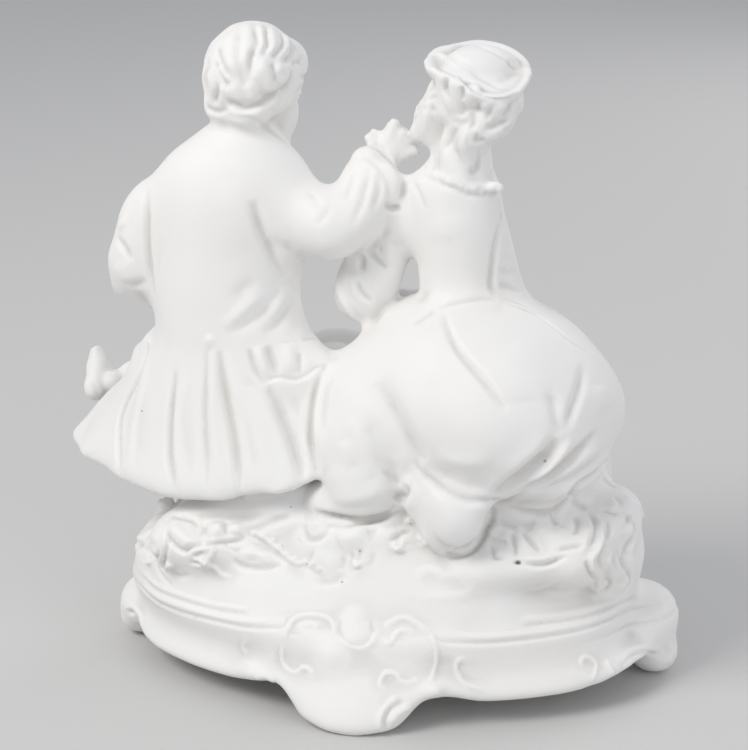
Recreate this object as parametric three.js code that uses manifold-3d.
// A porcelain figure group: a seated gentleman and a seated lady on a rocky mound, on a scrolled plinth.
// The whole group was luted together and fired as one piece, so it is one closed solid.
// Millimetres, +Z up. The backs of the figures face -Y, and they look over the far side, +Y.
// The numbers are given from the middle of the plinth, and meshOf moves the group to its own middle.
import * as THREE from "three";
import { mergeVertices } from "three/addons/utils/BufferGeometryUtils.js";
import Module from "manifold-3d";

const wasm = await Module();
wasm.setup();

const PLINTH_HEIGHT = 20;
const PLINTH_HALF_WIDTH = 66;
const PLINTH_HALF_DEPTH = 41;
const HEM_GAP = 5.8; // how far the apron's edge is lifted between the feet
const UNDERSIDE = 11; // the flat underside between the feet
const SEAT_HEIGHT = 50;
const MIDDLE_X = -8.2; // the middle of the whole group, seen from the middle of the plinth
const TAU = Math.PI * 2;

const rad = THREE.MathUtils.degToRad;
const mix = THREE.MathUtils.lerp;
const bell = (x, width) => Math.exp(-((x / width) ** 2));

// The shortest turn from one angle to another.
const turn = (a, b) => Math.atan2(Math.sin(a - b), Math.cos(a - b));

// A closed solid from a sphere's grid, whose points place(angle, down) sets.
// down runs from 0 at one pole to 1 at the other.
function skin(sides, rings, place) {
  const grid = new THREE.SphereGeometry(1, sides, rings);
  const position = grid.getAttribute("position");
  for (let ring = 0, n = 0; ring <= rings; ring++)
    for (let side = 0; side <= sides; side++, n++) {
      const p = place((TAU * (side % sides)) / sides, ring / rings);
      position.setXYZ(n, p.x, p.y, p.z);
    }
  return solid(grid);
}

// A geometry as a solid, with its faces pointing out.
function solid(geometry) {
  const bare = new THREE.BufferGeometry();
  bare.setAttribute("position", geometry.getAttribute("position"));
  bare.setIndex(geometry.index);
  const merged = mergeVertices(bare, 1e-4);
  const triVerts = new Uint32Array(merged.index.array);
  const points = merged.getAttribute("position").array;
  const build = () => new wasm.Manifold(new wasm.Mesh({ numProp: 3, vertProperties: points, triVerts }));
  const made = build();
  if (made.volume() > 0) return made;
  for (let i = 0; i < triVerts.length; i += 3)
    [triVerts[i + 1], triVerts[i + 2]] = [triVerts[i + 2], triVerts[i + 1]];
  return build();
}

// A smooth run through rows of numbers, read at t from 0 to 1.
function smoothRow(rows) {
  return (t) => {
    const x = t * (rows.length - 1);
    const i = Math.min(Math.floor(x), rows.length - 2);
    const row = (n) => rows[Math.max(0, Math.min(rows.length - 1, n))];
    const f = x - i;
    return rows[i].map((_, k) => {
      const [a, b, c, d] = [row(i - 1)[k], row(i)[k], row(i + 1)[k], row(i + 2)[k]];
      return b + 0.5 * f * (c - a + f * (2 * a - 5 * b + 4 * c - d + f * (3 * (b - c) + d - a)));
    });
  };
}

// A limb, sleeve, curl or scroll: rows of [x, y, z, half width, half thickness] along its middle line,
// with round ends. The half thickness is measured along the direction called facing.
function limb(rows, { sides = 10, rings = 8, facing = [0, 1, 0] } = {}) {
  const run = smoothRow(rows);
  const front = new THREE.Vector3(...facing);
  return skin(sides, rings, (angle, down) => {
    const end = 1 - Math.abs(2 * down - 1) ** (rings < 7 ? 3 : 5);
    const round = down === 0 || down === 1 ? 0 : Math.sqrt(end);
    const [x, y, z, wide, thick] = run(down);
    const ahead = run(Math.min(1, down + 0.02));
    const behind = run(Math.max(0, down - 0.02));
    const along = new THREE.Vector3(ahead[0] - behind[0], ahead[1] - behind[1], ahead[2] - behind[2]);
    const across = new THREE.Vector3().crossVectors(along, front).normalize();
    const out = new THREE.Vector3().crossVectors(across, along).normalize();
    return new THREE.Vector3(x, y, z)
      .addScaledVector(across, wide * round * Math.cos(angle))
      .addScaledVector(out, thick * round * Math.sin(angle));
  });
}

// A body built up in level slices: rows of [z, x, y, half width, half depth] from the top to the foot.
function slices(rows, { sides = 20, rings = 12, ripple = () => 1 } = {}) {
  const run = smoothRow(rows);
  return skin(sides, rings + 2, (angle, down) => {
    const level = THREE.MathUtils.clamp((down * (rings + 2) - 1) / rings, 0, 1);
    const [z, x, y, wide, deep] = run(level);
    const flat = down === 0 || down === 1 ? 0 : ripple(angle, level);
    return new THREE.Vector3(x + wide * flat * Math.cos(angle), y + deep * flat * Math.sin(angle), z);
  });
}

// An egg, turned by [x, y, z] degrees.
function egg([x, y, z], [a, b, c], turned = [0, 0, 0], sides = 10, rings = 6) {
  const place = new THREE.Matrix4().compose(
    new THREE.Vector3(x, y, z),
    new THREE.Quaternion().setFromEuler(new THREE.Euler(...turned.map(rad))),
    new THREE.Vector3(a, b, c),
  );
  return skin(sides, rings, (angle, down) => {
    const polar = Math.PI * down;
    return new THREE.Vector3(
      Math.sin(polar) * Math.cos(angle),
      Math.sin(polar) * Math.sin(angle),
      Math.cos(polar),
    ).applyMatrix4(place);
  });
}

const join = (...solids) => solids.flat(Infinity).reduce((all, one) => all.add(one));

// The plinth's outline in plan is an oval that swells at its four feet. Each foot has a flat sole, a
// fall on either side up to the apron's edge, and an arch beyond it, of so many millimetres, that runs
// out along the edge. Angles in radians.
const FEET = [
  { at: rad(-92.5), sole: rad(6.5), fall: rad(8.5), out: 0.18, arch: 2.8, runs: 0.7 },
  { at: rad(4), sole: rad(6), fall: rad(9), out: 0.02, arch: 3.4, runs: 2.2 },
  { at: rad(87.5), sole: rad(6.5), fall: rad(8.5), out: 0.18, arch: 2.8, runs: 0.7 },
  { at: rad(176), sole: rad(6), fall: rad(8), out: 0.02, arch: 2.8, runs: 0.7 },
];
const past = (angle, foot) => (Math.abs(turn(angle, foot.at)) - foot.sole) / foot.fall;
const footAt = (angle) => Math.max(...FEET.map((f) => 1 - THREE.MathUtils.smoothstep(past(angle, f), 0, 1)));
const archOf = (off, foot) => foot.arch * bell(off, off < 0 ? 0.5 : foot.runs);
const archAt = (angle) => Math.max(...FEET.map((f) => archOf(past(angle, f) - 1.2, f)));
const swellAt = (angle, foot) => foot.out * bell(turn(angle, foot.at), foot.sole + foot.fall * 0.7);
const footSwell = (angle) => FEET.reduce((sum, f) => sum + swellAt(angle, f), 0);

// The plinth's section, from the middle of its top to the middle of its underside. Each row: [share of the
// outline, height, share of the feet's swelling, share of the hem's rise, how far it is set to the left].
const SECTION = [
  [0.0, PLINTH_HEIGHT + 1.8, 0, 0, 3.6],
  [0.94, PLINTH_HEIGHT + 1.8, 0, 0, 3.6],
  [0.98, PLINTH_HEIGHT + 0.4, 0, 0, 3.6],
  [0.96, PLINTH_HEIGHT - 2.2, 0.1, 0, 3],
  [0.95, 13.5, 0.5, 0.05, 1],
  [0.98, 8.0, 0.85, 0.3, 0],
  [1.02, 1.8, 1, 1, 0],
  [1.0, 0.0, 1, 1, 0],
  [0.91, 0.0, 0.9, 1, 0],
  [0.84, UNDERSIDE, 0, 0, 0],
  [0.0, UNDERSIDE, 0, 0, 0],
];

// The point of the plinth's surface at an angle and at a place, which can be a fraction, in the section.
function onPlinth(angle, place) {
  const row = Math.min(Math.floor(place), SECTION.length - 2);
  const between = (v, k) => mix(v, SECTION[row + 1][k], place - row);
  const [share, height, swell, follow, left] = SECTION[row].map(between);
  const reach = share * (1 + swell * footSwell(angle));
  const rise = HEM_GAP * (1 - footAt(angle)) + archAt(angle);
  return new THREE.Vector3(
    PLINTH_HALF_WIDTH * reach * Math.cos(angle) - left,
    PLINTH_HALF_DEPTH * reach * Math.sin(angle),
    height + follow * rise,
  );
}

const plinth = () =>
  skin(60, SECTION.length - 1, (angle, down) => onPlinth(angle, Math.round(down * (SECTION.length - 1))));

// The rocks under the seats: steep behind the figures, and low where their feet rest.
function mound() {
  const rough = (angle, level) =>
    1 + level * (1 - level) * (0.13 * Math.sin(5 * angle + 1) + 0.1 * Math.sin(8 * angle + 5 * level));
  const seat = slices(
    [
      [SEAT_HEIGHT + 2, -3, -4, 44, 18],
      [SEAT_HEIGHT - 5, -2, -4, 49, 22],
      [37, -1.5, -3, 53, 27.5],
      [28, -4.5, -2, 61, 33],
      [PLINTH_HEIGHT, -4.5, -0.5, 62, 38],
    ],
    { sides: 26, rings: 4, ripple: rough },
  );
  const rocks = [
    [[52.4, -6, 42.4], [9.2, 11, 8.2], [8, 10, 20]],
    [[45, -17, 37], [12, 10, 9], [20, 0, 30]],
    [[53, -4, 30], [9, 15, 14], [0, 6, 0]],
    [[-56, -5, 26], [9.4, 17, 9.6], [0, 8, 0]],
    [[-40, -18, 36], [20, 13, 9], [15, 0, 8]],
    [[-8, -19, 41], [20, 12, 7], [12, 0, -6]],
    [[27, -20, 37], [20, 13, 7], [15, 0, 8]],
    [[-40, 16, 37], [21.5, 18, 21], [0, 0, 0]],
    [[-8, 16, 34], [26, 18, 18], [0, 0, 0]],
  ].map(([at, size, turned]) => egg(at, size, turned, 7, 5));
  return join(seat, rocks);
}

// The scrolls that frame the plinth's panel under the figures' backs, and a boss on both sides.
function scrolls() {
  // Each row: [degrees from the middle of the panel, place in the plinth's section].
  const curl = [
    [3.6, 4.2],
    [5, 2.7],
    [12, 2.6],
    [15.5, 4],
    [15.5, 5.2],
    [11, 5.9],
  ];
  const panel = (middle) => {
    const frame = (way) =>
      limb(
        curl.map(([off, place]) => {
          const p = onPlinth(rad(middle + way * off), place);
          return [p.x * 0.985, p.y * 0.985, p.z, 1.5, 1.5];
        }),
        { sides: 5, rings: 6 },
      );
    const drops = [-19, 19].map((off) => {
      const at = onPlinth(rad(middle + off), 5.8);
      return egg(at.toArray(), [3, 2, 2], [0, 0, 0], 5, 3);
    });
    return [frame(1), frame(-1), drops];
  };
  const boss = (angle) => egg(onPlinth(rad(angle), 3.4).toArray(), [4, 2.2, 3.8], [0, 0, 0], 8, 4);
  const right = egg([59.1, 2, 13.6], [12, 13, 9.4], [0, -8, 0], 10, 6);
  const rightToe = egg([66, 2, 5.4], [5, 8, 5.2], [0, 0, 0], 8, 5);
  const left = egg([-63, 1, 9.4], [9, 11, 6.8], [0, 8, 0], 10, 6);
  const leftToe = egg([-67.4, 1, 4.8], [4.8, 7, 4.6], [0, 0, 0], 8, 5);
  return join(panel(-95), boss(-95), boss(85), right, rightToe, left, leftToe);
}

// The gentleman

const WAIST_HEIGHT = 84;

function manTorso() {
  const trunk = slices(
    [
      [141, -35, 1, 5.4, 5.8],
      [135.5, -36, -0.5, 6.6, 6.8],
      [131.5, -37.4, -2, 10, 8.6],
      [127.5, -38, -3, 15, 10.4],
      [123.5, -38.5, -3.5, 19, 12],
      [118, -38.5, -3.5, 20.6, 13],
      [110, -39.2, -3.5, 19, 13.2],
      [102, -40.6, -4, 18.2, 12.8],
      [94, -40.6, -5, 18.2, 12.8],
      [WAIST_HEIGHT + 2, -39.6, -5.5, 18.4, 12.6],
      [WAIST_HEIGHT - 8, -38, -5, 14, 9],
    ],
    { sides: 16, rings: 9 },
  );
  const hip = egg([-57.8, 5, 70.4], [11, 14, 13.6], [0, 26, 0], 10, 6);
  const rightHip = egg([-20.6, -9, 75.4], [8.2, 9, 9.6], [0, 0, 0], 9, 5);
  const chest = egg([-38, 2, 103], [16, 12, 24], [-3, 0, 0], 10, 6);
  const neckcloth = egg([-32, 8, 126], [5.6, 4.4, 7.4], [-12, 0, 0], 8, 4);
  return join(trunk, hip, rightHip, chest, neckcloth);
}

// The coat's skirt: from the waist to a hem that spreads over the mound and out past the left thigh.
// Its hem is set out by these points, from its front edge on the left, round the back, to the right.
const HEM = [
  [-60, 15, 65],
  [-76.8, 14, 60.4],
  [-86.5, 9, 48.6],
  [-79, -5, 47.8],
  [-66.4, -17, 45.6],
  [-53, -25, 44.9],
  [-39, -28.5, 46.2],
  [-25, -29, 50],
  [-14, -27, 53],
  [-5, -23, 56.8],
  [-2, -12, 62],
  [-14, 4, 64],
  [-38, 8, 62],
];

function coatSkirt() {
  const hem = new THREE.CatmullRomCurve3(HEM.map((p) => new THREE.Vector3(...p)), true);
  const top = new THREE.Vector3(-39.2, -5.6, WAIST_HEIGHT + 7);
  const under = new THREE.Vector3(-38.5, -8, SEAT_HEIGHT + 3);
  const pleats = 13;
  const rings = 7;
  return skin(39, rings, (angle, down) => {
    if (down === 0) return top;
    if (down === 1) return under;
    const share = angle / TAU;
    const edge = hem.getPointAt(share);
    const bearing = Math.atan2((edge.y - top.y) * 1.4, edge.x - top.x);
    const fall = THREE.MathUtils.clamp((down * rings - 1) / (rings - 2), 0, 1);
    const waist = top.clone().add(new THREE.Vector3(17 * Math.cos(bearing), 11.6 * Math.sin(bearing), -1));
    const flare = 0.72 * fall + 0.28 * fall ** 2;
    const point = waist.clone().lerp(edge, flare);
    point.z = mix(waist.z, edge.z, fall);
    const fold = 0.9 * flare * Math.cos(pleats * angle);
    point.x += fold * Math.cos(bearing);
    point.y += fold * Math.sin(bearing);
    return point;
  });
}

function manHead() {
  const skull = egg([-33.4, 2.4, 143], [9.2, 10.4, 12.4], [6, 0, -40], 9, 6);
  const jaw = egg([-30.8, 5.6, 134.6], [5.8, 6.8, 7.4], [-10, 0, -40], 9, 6);
  const nose = egg([-27.4, 12, 138.6], [1.6, 2.8, 2.8], [20, 0, -40], 6, 4);
  const hair = egg([-34.2, -0.8, 145.8], [11.4, 12.2, 12.2], [0, 0, -40], 12, 7);
  const rolls = [
    [[-40, -3.6, 138.4], [5.8, 6.4, 5]],
    [[-34.4, -6.6, 138.2], [7, 5.6, 5]],
    [[-29, -3.4, 141], [5.4, 6, 5]],
    [[-40.6, 4, 141], [5, 6, 5.6]],
    [[-27.4, 4.6, 147.6], [5.8, 6, 6]],
  ].map(([at, size]) => egg(at, size, [0, 0, 0], 8, 5));
  return join(skull, jaw, nose, hair, rolls);
}

// A hand: the palm at a place, and fingers that run out from it, each with its own root and tip.
function hand(palm, size, turned, fingers) {
  const bones = fingers.map(([root, bend, tip, thick]) =>
    limb([[...root, thick, thick], [...bend, thick, thick * 0.95], [...tip, thick * 0.8, thick * 0.8]], {
      sides: 5,
      rings: 4,
      facing: [0.3, 1, 0.1],
    }),
  );
  return join(egg(palm, size, turned, 8, 5), bones);
}

function manArms() {
  const left = limb(
    [
      [-52.6, -3, 119.4, 8.6, 8.4],
      [-58.9, -2.6, 112, 8.2, 8],
      [-61.6, -2, 103, 7.6, 7.6],
      [-63.2, 0, 96, 9.3, 9],
      [-59, 9, 89.6, 6.8, 6.8],
      [-56, 17, 84.6, 6, 6],
    ],
    { sides: 10, rings: 8, facing: [0.3, 1, 0.2] },
  );
  const leftCuff = limb(
    [
      [-58.5, 11, 88, 7.2, 7.2],
      [-56, 17, 84.6, 7.8, 7.8],
      [-55, 19.5, 83, 8, 8],
    ],
    { sides: 9, rings: 4, facing: [1, 0, 0] },
  );
  const leftHand = hand([-55.5, 24, 79], [4, 5.8, 3.2], [-40, 0, 10], [
    [[-58, 26, 77.5], [-59.5, 29, 74], [-59.5, 30.5, 71], 1.5],
    [[-56, 27.5, 77], [-57, 31, 73.5], [-57, 32, 70.5], 1.5],
    [[-54, 27, 77], [-54, 30.5, 73.5], [-54, 31.5, 70.5], 1.5],
  ]);
  const upper = limb(
    [
      [-31, -3, 117.5, 8.6, 8.6],
      [-22, -5.6, 113.8, 8.8, 8.6],
      [-13, -9, 110.8, 9, 8.6],
      [-9, -9, 113, 6, 6],
    ],
    { sides: 10, rings: 6, facing: [0.2, 1, 0] },
  );
  const fore = limb(
    [
      [-15, -9.6, 108.6, 7, 7],
      [-10.4, -7, 112.6, 8.2, 7.8],
      [-6.6, -3, 117.8, 8, 7.4],
      [-4, 0, 122, 8.8, 7.8],
      [-2.8, 1.6, 124, 8.2, 7.2],
    ],
    { sides: 11, rings: 7, facing: [0.2, 1, 0] },
  );
  const wrist = limb(
    [
      [-4.6, 0, 120.6, 4, 3.6],
      [-3, 2.4, 125, 3.6, 3],
      [-2, 3.8, 129, 3.4, 2.8],
    ],
    { sides: 7, rings: 4 },
  );
  const rightHand = hand([-1.8, 4, 129.2], [3.8, 2.6, 4.8], [0, 22, 0], [
    [[-4.4, 3.8, 129.5], [-6.6, 4.4, 131.6], [-7.8, 5, 134], 1.2],
    [[-1.6, 4.4, 131.4], [-2.2, 5.2, 134], [-2, 6, 135.6], 1.5],
    [[0, 4.6, 131], [0.6, 5.8, 132.6], [1, 7, 133.2], 1.3],
    [[0.8, 4.6, 129.4], [2, 6, 130.4], [2.5, 7.4, 130.4], 1.3],
    [[0.6, 4.2, 127.4], [2.4, 5.2, 127.8], [3.1, 6.4, 126.8], 1.3],
  ]);
  return join(left, leftCuff, leftHand, upper, fore, wrist, rightHand);
}

function manLegs() {
  const standing = limb(
    [
      [-48, -6, 62, 11, 11],
      [-51, 14, 62.6, 9.4, 9.4],
      [-52, 29, 60.4, 7.8, 7.8],
      [-52, 35, 53, 6.8, 7],
      [-52, 35, 42, 6.2, 6.4],
      [-51.5, 34.5, 30, 4.4, 4.6],
      [-51, 34.5, 25, 4, 4.2],
    ],
    { sides: 8, rings: 7, facing: [1, 0, 0] },
  );
  const standingShoe = egg([-50.4, 37.4, 24.6], [4.2, 9, 3.8], [0, 0, 6], 8, 5);
  const thigh = limb(
    [
      [-28, -6, 64, 12, 12],
      [-21.5, 13, 66, 9.6, 9.4],
      [-15.6, 28, 68.4, 7.8, 7.8],
    ],
    { sides: 8, rings: 5, facing: [1, 0, 0] },
  );
  const shin = limb(
    [
      [-14.2, 29.5, 68, 7, 6.8],
      [-34, 32.6, 67, 6.4, 6.2],
      [-52, 32, 66.8, 5.4, 5.2],
      [-66, 29, 62.8, 5.4, 5.2],
      [-76, 27.4, 58.6, 5.2, 5],
      [-82.4, 25.6, 58.6, 4.4, 4.2],
    ],
    { sides: 8, rings: 7, facing: [0, 1, 0] },
  );
  const crossedShoe = limb(
    [
      [-84.2, 19.4, 56.8, 3.2, 3.2],
      [-83.4, 23.6, 58.6, 4, 3.6],
      [-83.9, 27.6, 63, 3.5, 3],
      [-85.6, 31, 68, 1.8, 1.7],
    ],
    { sides: 7, rings: 7, facing: [1, 0, 0] },
  );
  return join(standing, standingShoe, thigh, shin, crossedShoe);
}

const man = () => join(manTorso(), coatSkirt(), manHead(), manArms(), manLegs());

// The lady

function ladyTorso() {
  return slices(
    [
      [135, 13, 1.6, 4.4, 4.6],
      [127.5, 13, 0.4, 4.9, 5],
      [124, 13.4, -0.8, 8, 7],
      [119.8, 14, -1.5, 11.2, 8.8],
      [114, 14.6, -1.4, 11.6, 9.8],
      [107, 14.9, -1.8, 10.6, 9.6],
      [99, 15.2, -2.6, 9.4, 8.4],
      [92, 15.3, -3, 9.4, 8],
      [85, 15.5, -3, 12, 11],
    ],
    { sides: 14, rings: 8 },
  );
}

function ladyArms() {
  const left = limb(
    [
      [6.2, -1.5, 118.6, 5, 5.4],
      [2.4, -1, 112.4, 5.6, 5.8],
      [-2.2, -0.6, 105, 6.4, 6],
      [-6.6, -0.4, 98, 8.4, 6.8],
      [-7.6, -0.4, 92, 8, 7],
      [-7, -0.4, 87.4, 5.8, 5.4],
      [-6.8, -0.4, 85, 3, 3],
    ],
    { sides: 11, rings: 8 },
  );
  const leftFore = limb(
    [
      [-5, 2, 92, 4, 4],
      [2, 10, 91, 3, 3],
      [9, 16, 90.4, 2.8, 2.7],
      [15, 19, 89.8, 2.6, 2.4],
    ],
    { sides: 6, rings: 4, facing: [0, 0, 1] },
  );
  const right = limb(
    [
      [21.4, -1, 118, 4.2, 5.2],
      [23.2, -0.6, 110, 4.5, 5.4],
      [25.3, 0.6, 101, 4.7, 5.4],
      [27, 2.6, 94, 5, 5.4],
      [25.6, 9, 90.6, 4.8, 5],
      [22.5, 15, 90, 5.2, 5.2],
    ],
    { sides: 9, rings: 8, facing: [0.2, 1, 0] },
  );
  const rightFore = limb(
    [
      [24, 14, 90, 2.8, 2.8],
      [20, 19, 90, 2.7, 2.7],
      [15, 22, 89.6, 2.8, 2.2],
    ],
    { sides: 6, rings: 4, facing: [0, 0, 1] },
  );
  return join(left, leftFore, right, rightFore);
}

function ladyHead() {
  const skull = egg([15.6, 2, 140], [9.6, 8.8, 10.4], [0, 14, 0], 10, 6);
  const face = egg([10, 2.4, 136.6], [5.8, 6.2, 8.6], [0, 18, 0], 10, 7);
  const nose = egg([5.6, 3.2, 138], [1.8, 1.3, 2.2], [0, 24, 0], 6, 4);
  const curls = [
    [[22.6, -2.4, 138.4], [6.2, 6.6, 6.8]],
    [[23.8, 3, 140.6], [6, 7, 6.6]],
    [[19, -4.4, 134.8], [5.6, 5, 5.6]],
    [[14.4, -5, 140], [5.4, 4.2, 5.4]],
    [[20, 4, 134], [5.4, 6, 5]],
  ].map(([at, size]) => egg(at, size, [0, 0, 0], 8, 5));
  const lock = limb(
    [
      [15.4, -4.8, 134, 2.8, 2.6],
      [14, -5.8, 129, 3.6, 3],
      [16, -7.4, 124, 3.2, 2.6],
      [17.8, -8.8, 119.4, 1.8, 1.8],
    ],
    { sides: 7, rings: 6 },
  );
  const nape = egg([19.2, -1.6, 128], [4, 5.4, 6], [0, -10, 0], 7, 4);
  return join(skull, face, nose, curls, lock, nape);
}

// The little three-cornered hat, tipped back: a low crown in a brim that is turned up all round.
function hat() {
  const lean = new THREE.Euler(rad(20), rad(11), 0, "YXZ");
  const at = new THREE.Vector3(19.3, -0.8, 145.8);
  const corner = (angle) => Math.cos(3 * (angle - Math.PI));
  const rows = [
    [0, 3.8],
    [5.8, 3.4],
    [8.8, 0.9],
    [12, 2.4],
    [13, 2.2],
    [11, -1.0],
    [7.4, -2.6],
    [0, -2.8],
  ];
  return skin(18, rows.length - 1, (angle, down) => {
    const [reach, height] = rows[Math.round(down * (rows.length - 1))];
    const brim = reach > 10 ? 1 + 0.075 * corner(angle) : 1;
    const curl = reach > 11.5 ? 1.1 * (1 - corner(angle)) : 0;
    return new THREE.Vector3(
      reach * brim * Math.cos(angle),
      reach * brim * 0.86 * Math.sin(angle),
      height + curl,
    )
      .applyEuler(lean)
      .add(at);
  });
}

function collar() {
  const frill = (angle, level) => 1 + 0.05 * Math.cos(8 * angle) * Math.sin(Math.PI * level);
  return slices(
    [
      [125, 15, -0.4, 8, 7],
      [122.8, 13.2, -1, 10.4, 8.6],
      [120, 14, -1.4, 11.5, 9.4],
      [118.6, 14.4, -1.6, 10, 8],
    ],
    { sides: 16, rings: 3, ripple: frill },
  );
}

// The overskirt is a great puff behind her; folds run down it from the waist.
function ladySkirt() {
  const folds = (angle, level) => {
    const deep = Math.sin(Math.PI * Math.min(1, level * 1.05));
    return 1 + deep * (0.016 * Math.cos(9 * angle + 0.6) + 0.01 * Math.cos(13 * angle + 3 * level));
  };
  const puff = slices(
    [
      [95, 15.5, -3, 7.4, 7],
      [93.4, 16, -4, 14, 13],
      [89.4, 18.5, -5, 21.5, 20],
      [82, 21, -5, 28, 27],
      [74, 23, -5, 32.4, 30.5],
      [66, 24, -4.6, 31.6, 31],
      [59, 25.5, -4, 27.6, 29],
      [53, 26.5, -2, 20, 23],
    ],
    { sides: 28, rings: 8, ripple: folds },
  );
  const pannier = egg([33, 4, 76.4], [16, 20, 13.6], [0, 14, 0], 12, 7);
  const side = egg([4, -9, 69.4], [22, 19, 19.2], [0, -4, 0], 12, 8);
  const drape = egg([-2.6, -19, 61.6], [13.4, 10.6, 15], [0, -8, 0], 10, 6);
  const lap = limb(
    [
      [20, 2, 82, 17, 12],
      [24, 18, 79, 18, 11.5],
      [26, 31, 72, 19, 12],
    ],
    { sides: 10, rings: 5, facing: [0, 0, 1] },
  );
  const under = slices(
    [
      [66, 27, 2, 20, 20],
      [54, 27.5, 3, 23.5, 24],
      [42, 28, 4, 24.5, 25],
      [24, 28, 6, 26, 28],
    ],
    { sides: 18, rings: 3, ripple: (angle, level) => 1 + 0.03 * Math.cos(6 * angle + 2 * level) },
  );
  const front = slices(
    [
      [80, 26, 22, 16, 12],
      [68, 27, 29, 20, 12.5],
      [50, 28, 31, 22.5, 12],
      [34, 28, 31, 24, 11.5],
      [PLINTH_HEIGHT, 28, 27, 25, 12],
    ],
    { sides: 18, rings: 4, ripple: (angle, level) => 1 + 0.05 * level * Math.cos(6 * angle) },
  );
  const tongue = limb(
    [
      [16.6, -24, 65, 14, 8],
      [18, -28, 56, 11.6, 6.6],
      [19.6, -31.4, 48, 8.6, 4.6],
      [19.8, -33, 42, 5, 2.8],
    ],
    { sides: 8, rings: 5 },
  );
  const swag = egg([40.5, -19.5, 58], [14.4, 10, 7], [0, -12, 22], 10, 6);
  const shoe = egg([17, 37.5, 24], [3.4, 6, 3], [0, 0, 12], 7, 4);
  return join(puff, pannier, side, drape, lap, under, front, tongue, swag, shoe);
}

const lady = () => join(ladyTorso(), ladyArms(), ladyHead(), hat(), collar(), ladySkirt());

// The finished solid as a three.js mesh.
function meshOf(body) {
  const made = body.getMesh();
  const points = new Float32Array(made.numVert * 3);
  for (let i = 0; i < made.numVert; i++)
    points.set(made.vertProperties.subarray(i * made.numProp, i * made.numProp + 3), i * 3);
  const geometry = new THREE.BufferGeometry();
  geometry.setAttribute("position", new THREE.BufferAttribute(points, 3));
  geometry.setIndex(new THREE.BufferAttribute(new Uint32Array(made.triVerts), 1));
  geometry.translate(-MIDDLE_X, 0, 0);
  geometry.computeVertexNormals();
  const bisque = new THREE.MeshStandardMaterial({ color: 0xf1f0ee, roughness: 0.72, metalness: 0 });
  const mesh = new THREE.Mesh(geometry, bisque);
  mesh.name = "figure_group";
  return mesh;
}

const group = new THREE.Group();
group.add(meshOf(join(plinth(), mound(), scrolls(), man(), lady())));

export default group;
